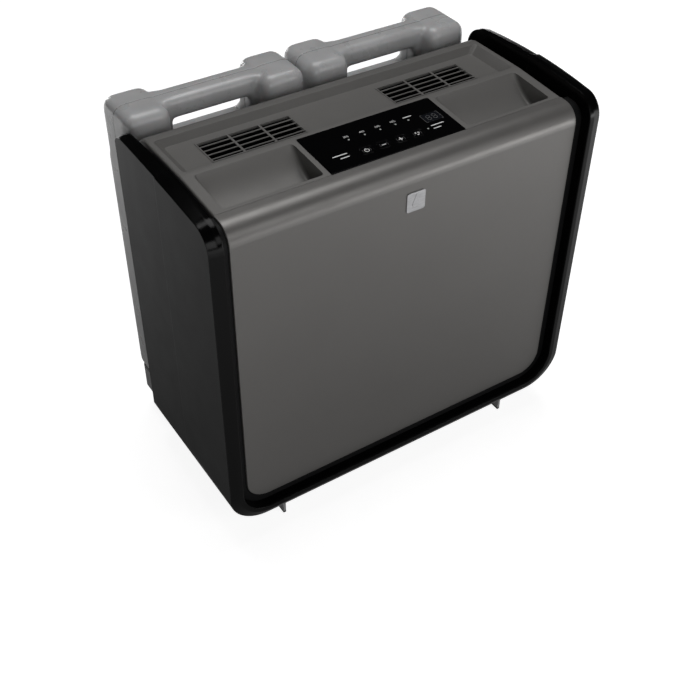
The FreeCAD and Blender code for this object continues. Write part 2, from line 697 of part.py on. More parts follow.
def key_body(index, grow):
    x = key_x(index)
    return block(x - KEY_WIDE / 2 - grow, x + KEY_WIDE / 2 + grow, KEY_Y - KEY_DEEP / 2 - grow,
                 KEY_Y + KEY_DEEP / 2 + grow, 440, 470, 3.0)


def control_fascia():
    slab = sloped_slab(-FASCIA_HALF, FASCIA_HALF, COVER_FRONT + 0.4, FASCIA_BACK, 0.4, FASCIA_THICK)
    slab = slab.makeFillet(2.5, edges_along(slab, Vec(0, 0, 1)))
    tools = [key_body(index, 0.35) for index in range(len(KEY_NAMES))]
    tools += [rod(x, y, 440, 470, 1.25) for x, y in LIGHT_PLACES]
    x0, y0, x1, y1 = DISPLAY
    tools.append(block(x0 - 0.1, x1 + 0.1, y0 - 0.1, y1 + 0.1, 440, 470, 1.5))
    return cut_all(slab, tools)


def display_window():
    x0, y0, x1, y1 = DISPLAY
    lens = block(x0, x1, y0, y1, 440, 470, 1.4)
    return lens.common(sloped_slab(x0 - 1, x1 + 1, y0 - 1, y1 + 1, 0.4, FASCIA_THICK))


def display_module():
    x0, y0, x1, y1 = DISPLAY
    top = cover_height(y0) - FASCIA_THICK - 0.4
    case = box(x0 + 1, x1 - 1, y0 + 1, y1 - 1, BOARD_TOP, top)
    digits = [box(x0 + 4 + i * 9, x0 + 11 + i * 9, y0 + 3, y1 - 3, top - 0.6, top + 1) for i in range(2)]
    return cut_all(case, digits)


def indicator_lights():
    pipes = []
    for x, y in LIGHT_PLACES:
        head = rod(x, y, BOARD_TOP, cover_height(y) + 0.55, 1.2)
        collar = rod(x, y, BOARD_TOP, BOARD_TOP + 2, 2.2)
        pipes.append(fuse([head, collar]))
    return Part.makeCompound(pipes)


def key_cap(index):
    body = key_body(index, 0)
    x = key_x(index)
    slab = sloped_slab(x - 10, x + 10, KEY_Y - 8, KEY_Y + 8, 0.5, KEY_THICK)
    return body.common(slab)


def control_board():
    board = box(-82, 97, 40, 106, BOARD_TOP - 1.6, BOARD_TOP)
    chips = [box(-70, -52, 60, 78, BOARD_TOP, BOARD_TOP + 2.2), box(-30, -10, 96, 104, BOARD_TOP, BOARD_TOP + 3)]
    return fuse([board] + chips)


def tact_switches():
    switches = []
    for index in range(len(KEY_NAMES)):
        x = key_x(index)
        base = box(x - 3, x + 3, KEY_Y - 3, KEY_Y + 3, BOARD_TOP, BOARD_TOP + 3.4)
        top = cover_height(KEY_Y) - KEY_THICK - KEY_TRAVEL - 0.2
        button = rod(x, KEY_Y, BOARD_TOP + 3.4, top, 1.6)
        switches.append(fuse([base, button]))
    return Part.makeCompound(switches)


def humidity_sensor():
    """Small upright board with a vented cell, inside the cover's rear wall."""
    back = COVER_BACK - WALL - 2
    board = box(-20, -2, back - 1.6, back, 430, 437.8)
    cell = box(-16, -6, back - 6, back - 1.6, 431, 437)
    return fuse([board, cell]).cut(box(-14, -8, back - 7, back - 4, 432.5, 435.5))


# ---- fan unit -----------------------------------------------------------------------
def deck_posts():
    """Posts from the deck up to the underside of the cover."""
    spots = [(POST_X, 70, cover_height(67) - WALL - 0.4), (POST_X, 215, 450), (44, 222, 446.5)]
    posts = []
    for x, y, top in spots:
        posts += both_sides(rod(x, y, DECK_TOP - 1, top, 3.0))
    return posts


def fan_deck():
    plate = box(-DECK_HALF, DECK_HALF, DECK_FRONT, DECK_BACK, DECK_LOW, DECK_TOP)
    shape = fuse([plate] + deck_posts())
    return shape.cut(rod(0, FAN_Y, DECK_LOW - 1, DECK_TOP + 1, FAN_HOLE))


def fan_shroud():
    """Ring round the fan, standing on the deck."""
    return tube(0, FAN_Y, DECK_TOP, SHROUD_TOP, FAN_HOLE + 2.6, FAN_HOLE)


def turned(shape, degrees):
    shape.rotate(Vec(0, FAN_Y, 0), Vec(0, 0, 1), degrees)
    return shape


def motor_bracket():
    low, high = DECK_LOW - 8, DECK_LOW - 4.5
    parts = [rod(0, FAN_Y, low, high, 40)]
    for index in range(4):
        arm = box(34, ARM_END, FAN_Y - 6, FAN_Y + 6, low, high)
        end_block = box(ARM_END - 8, ARM_END, FAN_Y - 6, FAN_Y + 6, low, DECK_LOW)
        parts += [turned(piece, 45 + index * 90) for piece in (arm, end_block)]
    return fuse(parts).cut(rod(0, FAN_Y, DECK_LOW - 10, DECK_LOW, 12))


def motor_body():
    low, high = 306, DECK_LOW - 8
    can = rod(0, FAN_Y, low, high, 34)
    rims = [e for e in can.Edges if e.Curve.TypeId == "Part::GeomCircle" and e.BoundBox.ZMax < low + 1]
    can = can.makeFillet(4.0, rims)
    boss = rod(0, FAN_Y, high, high + 6, 10)
    fins = []
    for index in range(12):
        fins.append(turned(box(33.5, 36.5, FAN_Y - 1, FAN_Y + 1, low + 10, high - 4), index * 30))
    return fuse([can, boss] + fins).cut(rod(0, FAN_Y, low - 1, high + 10, SHAFT_R + RUNNING))


def fan_shaft():
    return rod(0, FAN_Y, 300, 402, SHAFT_R)


def blade_section(radius, chord, pitch, thick):
    """A thin closed section at a radius, tilted by its pitch in degrees."""
    tilt = math.radians(pitch)
    along = Vec(0, math.cos(tilt), math.sin(tilt))
    up = Vec(0, -math.sin(tilt), math.cos(tilt))
    centre = Vec(radius, 0, 381)
    corners = []
    for u, v in ((-0.5, -0.5), (0.5, -0.5), (0.5, 0.5), (-0.5, 0.5)):
        point = centre + along * (u * chord) + up * (v * thick)
        corners.append(point)
    return Part.makePolygon(corners + [corners[0]])


def fan_rotor():
    hub = rod(0, FAN_Y, 366.5, 396, 30)
    rims = [e for e in hub.Edges if e.Curve.TypeId == "Part::GeomCircle" and e.BoundBox.ZMin > 395]
    hub = hub.makeFillet(5.0, rims)
    hub = hub.cut(rod(0, FAN_Y, 366, 392, 26)).fuse(rod(0, FAN_Y, 368, 396, 9))
    blades = []
    for index in range(5):
        sections = [blade_section(28.5, 34, 38, 2.4), blade_section(60, 45, 28, 2.2),
                    blade_section(FAN_TIP, 55, 20, 1.8)]
        blade = Part.makeLoft(sections, True, False)
        blade.translate(Vec(0, FAN_Y, 0))
        blades.append(turned(blade, index * 72))
    shape = fuse([hub] + blades)
    return shape.cut(rod(0, FAN_Y, 360, 400, SHAFT_R))


def fan_nut():
    points = []
    for index in range(7):
        turn = math.radians(60 * index)
        points.append(Vec(7.5 * math.cos(turn), FAN_Y + 7.5 * math.sin(turn), 396))
    nut = Part.Face(Part.makePolygon(points)).extrude(Vec(0, 0, 5))
    return nut.cut(rod(0, FAN_Y, 390, 405, SHAFT_R))


def deck_screws():
    screws = []
    for index in range(4):
        turn = math.radians(45 + index * 90)
        x, y = (ARM_END - 4) * math.cos(turn), FAN_Y + (ARM_END - 4) * math.sin(turn)
        screws.append(rod(x, y, DECK_LOW - 10.2, DECK_LOW - 8, HEAD_R))
    return Part.makeCompound(screws)


# ---- water bottles ------------------------------------------------------------------
def handle_cut():
    """What is taken away to leave the handle bar between the two end humps."""
    half_deep = HANDLE_DEEP / 2
    outer = BOTTLE_DEEP / 2 + 1
    tools = []
    for side in (-1, 1):
        points = [(BOTTLE_Y + side * half_deep, 480), (BOTTLE_Y + side * half_deep, 414),
                  (BOTTLE_Y + side * outer, RECESS_LOW), (BOTTLE_Y + side * outer, 480)]
        recess = extrude_x(points, -RECESS_HALF, RECESS_HALF)
        inner = [e for e in edges_along(recess, Vec(0, 0, 1))
                 if abs(e.BoundBox.YMin - BOTTLE_Y) < half_deep + 1]
        tools.append(recess.makeFillet(9.0, inner))
    zone = box(-HANDLE_HALF, HANDLE_HALF, BOTTLE_Y - 50, BOTTLE_Y + 50, SLOT_FLOOR, 480)
    bar = block(-HANDLE_HALF - 1, HANDLE_HALF + 1, BOTTLE_Y - half_deep, BOTTLE_Y + half_deep,
                HANDLE_LOW, BOTTLE_TOP - 1.5, 12.0, Vec(1, 0, 0))
    tools.append(zone.cut(bar))
    return tools


def bottle_cavity():
    """The water space: body, two end columns, the hollow handle and the neck."""
    half = BOTTLE_WIDE / 2
    deep = BOTTLE_DEEP / 2
    wall = 2.6
    body = block(-half + wall, half - wall, BOTTLE_Y - deep + wall, BOTTLE_Y + deep - wall,
                 BOTTLE_LOW + wall, 387, BOTTLE_CORNER - wall)
    spaces = [body]
    column = block(RECESS_HALF + 6, half - 6, BOTTLE_Y - deep + 6, BOTTLE_Y + deep - 6, 380, 461.5, 10.0)
    leg = box(HANDLE_HALF + wall, RECESS_HALF + 7, BOTTLE_Y - 16, BOTTLE_Y + 16, 380, 459)
    spaces += both_sides(column) + both_sides(leg)
    spaces.append(block(-HANDLE_HALF - 5, HANDLE_HALF + 5, BOTTLE_Y - 17.5, BOTTLE_Y + 17.5,
                        HANDLE_LOW + wall, BOTTLE_TOP - 4.5, 10.0, Vec(1, 0, 0)))
    spaces.append(rod(0, BOTTLE_Y, NECK_LOW - 1, BOTTLE_LOW + 5, NECK_BORE))
    return fuse(spaces)


def bottle():
    half = BOTTLE_WIDE / 2
    deep = BOTTLE_DEEP / 2
    shape = block(-half, half, BOTTLE_Y - deep, BOTTLE_Y + deep, BOTTLE_LOW, BOTTLE_TOP, BOTTLE_CORNER)
    top = [e for e in shape.Edges if e.BoundBox.ZMin > BOTTLE_TOP - 0.1]
    shape = shape.makeFillet(16.0, top)
    bottom = [e for e in shape.Edges if e.BoundBox.ZMax < BOTTLE_LOW + 0.1]
    shape = shape.makeFillet(6.0, bottom)
    shape = cut_all(shape, handle_cut())
    shape = shape.fuse(rod(0, BOTTLE_Y, NECK_LOW, BOTTLE_LOW + 3, NECK_R))
    return shape.cut(bottle_cavity())


def bottle_cap():
    skirt = rod(0, BOTTLE_Y, CAP_LOW, CAP_TOP, CAP_R)
    bore = rod(0, BOTTLE_Y, CAP_LOW + WALL, CAP_TOP + 1, NECK_R + 0.4)
    ribs = []
    for index in range(24):
        rib = box(CAP_R - 1, CAP_R + 1.1, BOTTLE_Y - 1.2, BOTTLE_Y + 1.2, CAP_LOW + 2, CAP_TOP - 2)
        rib.rotate(Vec(0, BOTTLE_Y, 0), Vec(0, 0, 1), index * 15)
        ribs.append(rib)
    shape = fuse([skirt] + ribs).cut(bore)
    shape = shape.cut(rod(0, BOTTLE_Y, CAP_LOW - 1, CAP_LOW + 5, 9.0))
    low, high = CAP_LOW + 14, CAP_LOW + 16.5
    spider = tube(0, BOTTLE_Y, low, high, 6.0, 3.0 + RUNNING)
    legs = []
    for index in range(3):
        bridge = box(5.5, 17, BOTTLE_Y - 1.5, BOTTLE_Y + 1.5, low, high)
        post = box(14, 17, BOTTLE_Y - 1.5, BOTTLE_Y + 1.5, CAP_LOW + WALL, high)
        for piece in (bridge, post):
            piece.rotate(Vec(0, BOTTLE_Y, 0), Vec(0, 0, 1), index * 120)
            legs.append(piece)
    return fuse([shape, spider] + legs)


def cap_seal():
    return tube(0, BOTTLE_Y, CAP_LOW + WALL, NECK_LOW - GAP, NECK_R, 24.0)


def valve_stem():
    """Rod with a sealing disc, drawn pushed up by the post, so the valve is open."""
    stem = rod(0, BOTTLE_Y, CAP_LOW - STEM_BELOW, CAP_LOW + 21, 3.0)
    disc = rod(0, BOTTLE_Y, CAP_LOW + 8, CAP_LOW + 10, 12.0)
    clip = rod(0, BOTTLE_Y, CAP_LOW + 21, CAP_LOW + 22.5, 4.2)
    return fuse([stem, disc, clip])


def valve_seal():
    return tube(0, BOTTLE_Y, CAP_LOW + 6.5, CAP_LOW + 8, 11.5, 3.0)


def valve_spring():
    """Three flat turns between the disc and the guide above it."""
    turns = []
    low, high = CAP_LOW + 10.2, CAP_LOW + 13.8
    for index in range(3):
        z = low + 0.4 + index * (high - low - 0.8) / 2
        turns.append(Part.makeTorus(5.2, 0.4, Vec(0, BOTTLE_Y, z)))
    links = [Part.makeBox(0.6, 0.6, high - low - 0.4, Vec(4.9, BOTTLE_Y - 0.3, low + 0.2))]
    return fuse(turns + links)


# ---- export -------------------------------------------------------------------------
def place(shape):
    moved = shape.copy()
    moved.translate(Vec(0, -(FRONT + BACK) / 2, -GROUND))
    return moved


def shifted(shape, x):
    moved = shape.copy()
    moved.translate(Vec(x, 0, 0))
    return moved


def all_parts():
    parts = {
        "water_tub": water_tub(),
        "bottle_shelf": bottle_shelf(),
        "left_well": well(-BOTTLE_X),
        "right_well": well(BOTTLE_X),
        "foot_pads": foot_pads(),
        "foot_screws": foot_screws(),
        "chassis": chassis(),
        "front_panel": front_panel(),
        "badge": badge(),
        "front_frame": front_frame(),
        "left_side_panel": mirror(right_side_panel()),
        "right_side_panel": right_side_panel(),
        "cord_gland": cord_gland(),
        "rear_intake_panel": rear_intake_panel(),
        "wick_frame": wick_frame(),
        "wick_filter": wick_filter(),
        "float_guide": float_guide(),
        "float_switch": float_switch(),
        "water_float": water_float(),
        "top_cover": top_cover(),
        "left_grille": mirror(grille()),
        "right_grille": grille(),
        "control_fascia": control_fascia(),
        "display_window": display_window(),
        "display_module": display_module(),
        "indicator_lights": indicator_lights(),
        "control_board": control_board(),
        "tact_switches": tact_switches(),
        "humidity_sensor": humidity_sensor(),
        "fan_deck": fan_deck(),
        "fan_shroud": fan_shroud(),
        "motor_bracket": motor_bracket(),
        "deck_screws": deck_screws(),
        "motor_body": motor_body(),
        "fan_shaft": fan_shaft(),
        "fan_rotor": fan_rotor(),
        "fan_nut": fan_nut(),
    }
    names = {(-1, FRAME_BOTTOM): "left_front_foot", (1, FRAME_BOTTOM): "right_front_foot",
             (-1, SHELF_BOTTOM): "left_rear_foot", (1, SHELF_BOTTOM): "right_rear_foot"}
    for x, y, top in foot_places():
        parts[names[(-1 if x < 0 else 1, top)]] = foot(x, y, top)
    for index, name in enumerate(KEY_NAMES):
        parts["key_" + name] = key_cap(index)
    makers = {"tank": bottle, "tank_cap": bottle_cap, "cap_seal": cap_seal, "valve_stem": valve_stem,
              "valve_seal": valve_seal, "valve_spring": valve_spring}
    for name, make in makers.items():
        shape = make()
        parts["left_" + name] = shifted(shape, -BOTTLE_X)
        parts["right_" + name] = shifted(shape, BOTTLE_X)
    return parts


os.makedirs("parts", exist_ok=True)
for node, solid in all_parts().items():
    ready = place(solid)
    ready.exportStep("parts/" + node + ".step")
    limits = ready.BoundBox
    print(node, len(ready.Solids), ready.isValid(), round(ready.Volume / 1000, 1), "cm3",
          [round(v, 1) for v in (limits.XMin, limits.XMax, limits.YMin, limits.YMax, limits.ZMin, limits.ZMax)])
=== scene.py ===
import json
import math

import bmesh
import bpy
from mathutils import Matrix, Vector


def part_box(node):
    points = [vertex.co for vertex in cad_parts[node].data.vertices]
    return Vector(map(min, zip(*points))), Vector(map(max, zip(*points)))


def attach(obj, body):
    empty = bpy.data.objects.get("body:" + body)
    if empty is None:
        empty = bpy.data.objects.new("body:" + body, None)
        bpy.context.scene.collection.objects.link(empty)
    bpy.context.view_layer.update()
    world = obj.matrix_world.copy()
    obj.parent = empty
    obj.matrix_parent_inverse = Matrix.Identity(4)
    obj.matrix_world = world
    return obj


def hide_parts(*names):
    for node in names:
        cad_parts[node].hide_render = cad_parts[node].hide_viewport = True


# Console humidifier in metres, +Z up, front towards -Y.  The CAD parts keep their shape and
# get their finishes here; the blow-moulded bottles and the printing on the controls are made
# in this script.

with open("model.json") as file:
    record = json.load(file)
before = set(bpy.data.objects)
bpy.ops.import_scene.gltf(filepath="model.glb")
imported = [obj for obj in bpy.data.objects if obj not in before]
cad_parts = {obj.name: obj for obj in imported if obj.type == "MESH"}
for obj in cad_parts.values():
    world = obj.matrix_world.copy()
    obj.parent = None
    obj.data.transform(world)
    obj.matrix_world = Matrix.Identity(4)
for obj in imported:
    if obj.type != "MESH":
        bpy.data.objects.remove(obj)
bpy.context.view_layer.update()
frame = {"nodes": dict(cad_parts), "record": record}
nodes = frame["nodes"]

MM = 0.001
SIDES = ("left", "right")
KEYS = ("power", "minus", "plus", "fan")

# camera: where the lens stands, and how it is turned
CAMERA_PLACE = (-0.6823, -1.0393, 1.2079)
CAMERA_AZIMUTH = -33.78
CAMERA_ELEVATION = 41.59
CAMERA_ROLL = 0.894
CAMERA_LENS = 55.88
CAMERA_SENSOR = 36.0

# bottle, in mm from the middle of its box and up from its lowest point
TANK_SHOULDER = 22.0          # neck length below the body
TANK_HEAD = 77.0              # humps and handle, above the body
TANK_HUMP = 66.0              # inner side of each end hump
TANK_HUMP_ROOT = 60.0         # how far a hump reaches down into the body
TANK_SLOT = 56.5              # half length of the finger slot
TANK_BAR = 20.5               # half depth of the handle bar
TANK_BAR_TALL = 32.0
TANK_BAR_ROOT = 14.0          # how far the bar reaches into each hump
TANK_LEG_ROOT = 16.0          # how far each end of the handle reaches into its hump
TANK_SLOPE = 22.0             # rise of the body's top up to the ends of the handle
TANK_SILL = 9.0               # rise of the finger slot's floor
TANK_SILL_EDGE = 8.0          # run of that rise
TANK_UNDER = 12.0             # the sloped pieces reach this far down into the body
TANK_LEG_UNDER = 20.0         # and the ends of the handle this far
TANK_LEG_DROP = 1.5           # the ends of the handle stop this far below the humps
TANK_BAR_DROP = 1.0           # and the bar this far
TANK_LAP = 6.0                # overlap of pieces that the remesh joins
TANK_NECK_LAP = 2.0
BODY_ROUND = 12.0
HUMP_ROUND = 16.0
LEG_ROUND = 7.0
NECK_RADIUS = 29.0
NECK_TALL = 30.0
NECK_SIDES = 64
TANK_VOXEL = 2.4
SOFTEN_SHARE = 0.6
SOFTEN_TIMES = 9
GROOVE_WIDE = 0.7
GROOVE_DEEP = 0.8
GROOVE_REACH = 0.05           # vertices this near the middle plane form the groove

# printing on the controls, in mm
PRINT_LIFT = 0.05             # printed marks stand this far off the fascia
PRINT_THICK = 0.04
FASCIA_THICK = 3.0
NUMERAL_ROW = 57.4            # from the fascia's front edge
NUMERAL_SIZE = 4.6
NUMERALS = (("35%", -42.4), ("45%", -18.8), ("55%", 4.3), ("65%", 27.0))    # with x of the middle
ROW_BAR = (49.1, 13.0, 1.5)   # x, width and height of the bar that ends the numerals' row
WORD_BARS = ((-70.0, 21.0, -29.5), (-66.5, 13.0, -36.0),    # x, width and distance from that row
             (74.0, 20.0, -31.0), (69.5, 12.0, -37.5))
WORD_TALL = 1.6
WINDOW_GAP = 0.8              # from the display window to the lines beside it
WINDOW_LINE = 0.5
WINDOW_HOOK = (1.4, 3.2, 0.05)    # offset, length and extra lift of the hooks at the corners
DIGIT_PITCH = 9.0
DIGIT_HALF = (2.5, 4.6)       # half width and half height of a digit
DIGIT_LINE = 0.8
DIGIT_STROKES = (3.6, 3.4)    # lengths of the level and the upright strokes
DIGIT_LIFT = 0.03
KEY_LIFT = 0.12               # symbols stand this far off their key
CROSSING_LIFT = 0.03          # and the plus sign's second bar this much further
KEY_BRACKET = (5.4, 0.35)     # radius and line width
POWER_RING = (2.5, 0.9)       # radius and line width
POWER_BAR = (2.6, 3.2)        # offset and length
SIGN_LINE = 1.2
MINUS_LONG = 6.2
PLUS_LONG = 6.4
FAN_BLADES = 3
FAN_RADIUS = 1.7              # from the middle of the symbol to the middle of a blade
FAN_BLADE = (0.5, 1.3)        # radius and line width

# tones of the studio
FLOOR_SEEN = 0.86             # glow of the floor as the camera sees it
FLOOR_PAINTED_REFLECTION = 2.1          # glow of the floor as polished faces see it: a painted reflection
FLOOR_PAINTED_SHADOW_NEAR, FLOOR_PAINTED_SHADOW_FAR = 0.3, 2.3    # painted shadow round the object: that glow rises between these distances, in metres
FLOOR_HALF = 9.0
FLOOR_DROP = 0.0005           # the floor lies this far below the feet
WORLD_SEEN = 1.0
WORLD_MIRRORED = 0.01
WORLD_FILL = 0.02


# ---- materials ----------------------------------------------------------------------
class Shader:
    """A Principled material with object-space textures, in metres."""

    def __init__(self, name):
        self.material = bpy.data.materials.new(name)
        self.material.use_nodes = True
        self.tree = self.material.node_tree
        self.principled = self.tree.nodes["Principled BSDF"]
        self.place = self.add("ShaderNodeTexCoord").outputs["Object"]

    def add(self, kind, **settings):
        node = self.tree.nodes.new(kind)
        for key, value in settings.items():
            setattr(node, key, value)
        return node

    def link(self, source, target):
        """Feeds a socket from another socket, or sets it to a plain value."""
        if isinstance(source, bpy.types.NodeSocket):
            self.tree.links.new(source, target)
        else:
            target.default_value = source

    def set(self, **values):
        for key, value in values.items():
            self.principled.inputs[key.replace("_", " ")].default_value = value

    def stretched(self, scale):
        mapping = self.add("ShaderNodeMapping")
        mapping.inputs["Scale"].default_value = scale
        self.link(self.place, mapping.inputs["Vector"])
        return mapping.outputs["Vector"]

    def noise(self, scale, detail=2.0, vector=None):
        node = self.add("ShaderNodeTexNoise")
        node.inputs["Scale"].default_value = scale
        node.inputs["Detail"].default_value = detail
        self.link(vector or self.place, node.inputs["Vector"])
        return node.outputs["Fac"]

    def ramp(self, fac, stops):
        node = self.add("ShaderNodeValToRGB")
        elements = node.color_ramp.elements
        while len(elements) < len(stops):
            elements.new(0.5)
        for element, (place, colour) in zip(elements, stops):
            element.position = place
            element.color = (*colour, 1.0)
        self.link(fac, node.inputs["Fac"])
        return node.outputs["Color"]

    def tones(self, fac, colour, low, high, start=0.3, end=0.7):
        """One colour, from a darker to a lighter share of it."""
        return self.ramp(fac, [(start, shade(colour, low)), (end, shade(colour, high))])

    def blend(self, factor, first, second, kind="RGBA"):
        node = self.add("ShaderNodeMix", data_type=kind)
        self.link(factor, node.inputs["Factor"])
        self.link(first, node.inputs["A"])
        self.link(second, node.inputs["B"])
        return node.outputs["Result"]

    def axis(self, vector, name):
        node = self.add("ShaderNodeSeparateXYZ")
        self.link(vector, node.inputs["Vector"])
        return node.outputs[name]

    def maths(self, operation, *values):
        node = self.add("ShaderNodeMath", operation=operation)
        for index, value in enumerate(values):
            self.link(value, node.inputs[index])
        return node.outputs[0]

    def spread(self, fac, low, high, start=0.3, end=0.7):
        node = self.add("ShaderNodeMapRange")
        node.inputs["From Min"].default_value = start
        node.inputs["From Max"].default_value = end
        node.inputs["To Min"].default_value = low
        node.inputs["To Max"].default_value = high
        self.link(fac, node.inputs["Value"])
        return node.outputs["Result"]

    def colour(self, socket):
        self.link(socket, self.principled.inputs["Base Color"])

    def roughness(self, socket):
        self.link(socket, self.principled.inputs["Roughness"])

    def bump(self, height, distance, round_edges=0.0):
        node = self.add("ShaderNodeBump")
        node.inputs["Distance"].default_value = distance
        node.inputs["Strength"].default_value = 1.0
        self.link(height, node.inputs["Height"])
        if round_edges:
            bevel = self.add("ShaderNodeBevel", samples=4)
            bevel.inputs["Radius"].default_value = round_edges
            self.link(bevel.outputs["Normal"], node.inputs["Normal"])
        self.link(node.outputs["Normal"], self.principled.inputs["Normal"])


def shade(colour, factor):
    return tuple(min(1.0, c * factor) for c in colour)


def moulded(name, colour, rough, grain=1600.0, depth=0.00004, mottle=0.06, edges=0.0006, **values):
    """Moulded plastic: fine spark-eroded grain, faint mottling and uneven sheen."""
    shader = Shader(name)
    shader.colour(shader.tones(shader.noise(14.0, 3.0), colour, 1 - mottle, 1 + mottle))
    shader.roughness(shader.spread(shader.noise(60.0, 4.0), rough - 0.05, rough + 0.05))
    shader.bump(shader.noise(grain, 2.0), depth, round_edges=edges)
    shader.set(**values)
    return shader.material


def pewter(name, colour, rough, metal, grain, depth):
    """Metallic-grey lacquer: fine flake in the colour, soft clear sheen over it."""
    shader = Shader(name)
    broad = shader.tones(shader.noise(7.0, 2.0), colour, 0.97, 1.03)
    flake = shader.tones(shader.noise(2600.0, 1.0), colour, 0.86, 1.14, 0.35, 0.65)
    shader.colour(shader.blend(0.35, broad, flake))
    shader.roughness(shader.spread(shader.noise(45.0, 4.0), rough - 0.03, rough + 0.03))
    shader.bump(shader.noise(grain, 2.0), depth, round_edges=0.0008)
    shader.set(Metallic=metal)
    return shader.material


def gloss(name, colour, rough, level):
    """Polished black plastic with slight orange peel and faint wiping marks."""
    shader = Shader(name)
    shader.colour(shader.tones(shader.noise(20.0, 3.0), colour, 0.85, 1.15))
    wipes = shader.noise(9.0, 5.0, shader.stretched((1.0, 1.0, 6.0)))
    shader.roughness(shader.spread(wipes, rough - 0.03, rough + 0.05))
    shader.bump(shader.noise(110.0, 1.0), 0.00003, round_edges=0.0012)
    shader.set(Specular_IOR_Level=level)
    return shader.material


def case_black(name):
    """Black case: satin outer side faces, polished bevels, front strip and inner faces."""
    shader = Shader(name)
    normal = shader.add("ShaderNodeTexCoord").outputs["Normal"]
    side = shader.maths("SIGN", shader.axis(shader.place, "X"))
    outward = shader.maths("MULTIPLY", shader.axis(normal, "X"), side)
    satin = shader.spread(outward, 0.0, 1.0, 0.96, 0.98)
    grain = shader.noise(1500.0, 2.0)
    polished_tone = shader.ramp(shader.noise(20.0, 3.0), [(0.3, (0.0012, 0.0012, 0.0013)),
                                                          (0.7, (0.0018, 0.0018, 0.0019))])
    satin_tone = shader.ramp(grain, [(0.3, (0.0030, 0.0030, 0.0031)), (0.7, (0.0042, 0.0042, 0.0043))])
    shader.colour(shader.blend(satin, polished_tone, satin_tone))
    polished_sheen = shader.spread(shader.noise(9.0, 5.0), 0.16, 0.20)
    satin_sheen = shader.spread(shader.noise(25.0, 2.0), 0.52, 0.55)
    shader.roughness(shader.blend(satin, polished_sheen, satin_sheen, "FLOAT"))
    shader.bump(grain, 0.00002, round_edges=0.0025)
    shader.set(Specular_IOR_Level=0.12)
    return shader.material


def blow_moulded():
    """Grey blow-moulded bottle: flow streaks down the wall, and painted shade that darkens the parting line's
    groove.
    """
    shader = Shader("tank_grey")
    streaks = shader.noise(30.0, 4.0, shader.stretched((1.0, 1.0, 0.12)))
    wall = shader.tones(streaks, (0.43, 0.43, 0.434), 0.93, 1.07)
    # the parting line is real and cut as a groove; its near-black colour is painted shade in that groove
    low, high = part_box("left_tank")
    offset = shader.maths("SUBTRACT", shader.axis(shader.place, "Y"), (low.y + high.y) / 2)
    line = shader.spread(shader.maths("ABSOLUTE", offset), 1.0, 0.0, 0.0003, 0.0007)
    shader.colour(shader.blend(line, wall, (0.045, 0.045, 0.047, 1.0)))
    shader.roughness(shader.spread(shader.noise(40.0, 4.0), 0.24, 0.36))
    shader.bump(shader.noise(420.0, 3.0), 0.00006)
    shader.set(Subsurface_Weight=0.06, Subsurface_Scale=0.004)
    return shader.material


def metal(name, colour, rough, direction):
    """Machined or plated metal with fine tool marks along one direction."""
    shader = Shader(name)
    marks = shader.noise(900.0, 3.0, shader.stretched(direction))
    shader.colour(shader.tones(marks, colour, 0.85, 1.1))
    shader.roughness(shader.spread(marks, rough - 0.07, rough + 0.1))
    shader.bump(marks, 0.00002, round_edges=0.0004)
    shader.set(Metallic=1.0)
    return shader.material


def wick_paper():
    """Wet-strength paper: felted fibres and darker folds."""
    shader = Shader("wick_paper")
    fibres = shader.noise(500.0, 8.0, shader.stretched((1.0, 1.0, 0.15)))
    felt = shader.ramp(fibres, [(0.35, (0.5, 0.47, 0.4)), (0.65, (0.78, 0.75, 0.67))])
    blots = shader.ramp(shader.noise(25.0, 3.0), [(0.3, (0.6, 0.57, 0.49)), (0.7, (0.74, 0.72, 0.64))])
    shader.colour(shader.blend(0.4, felt, blots))
    shader.roughness(shader.spread(fibres, 0.8, 0.97))
    shader.bump(fibres, 0.0002)
    return shader.material


def circuit_board():
    """Green solder mask with lighter copper tracks under it."""
    shader = Shader("board_green")
    tracks = shader.add("ShaderNodeTexBrick")
    tracks.inputs["Scale"].default_value = 160.0
    tracks.inputs["Mortar Size"].default_value = 0.035
    tracks.inputs["Color1"].default_value = (0.012, 0.10, 0.04, 1.0)
    tracks.inputs["Color2"].default_value = (0.016, 0.12, 0.05, 1.0)
    tracks.inputs["Mortar"].default_value = (0.05, 0.25, 0.10, 1.0)
    shader.link(shader.place, tracks.inputs["Vector"])
    shader.colour(tracks.outputs["Color"])
    shader.roughness(shader.spread(shader.noise(80.0, 3.0), 0.3, 0.42))
    shader.bump(tracks.outputs["Fac"], 0.00004)
    return shader.material


def foam():
    """Closed-cell foam of the float."""
    shader = Shader("float_foam")
    cells = shader.add("ShaderNodeTexVoronoi")
    cells.inputs["Scale"].default_value = 700.0
    shader.link(shader.place, cells.inputs["Vector"])
    tone = shader.ramp(cells.outputs["Distance"], [(0.1, (0.70, 0.70, 0.67)), (0.8, (0.84, 0.84, 0.82))])
    shader.colour(tone)
    shader.roughness(shader.spread(shader.noise(300.0, 2.0), 0.7, 0.9))
    shader.bump(cells.outputs["Distance"], 0.0002)
    return shader.material


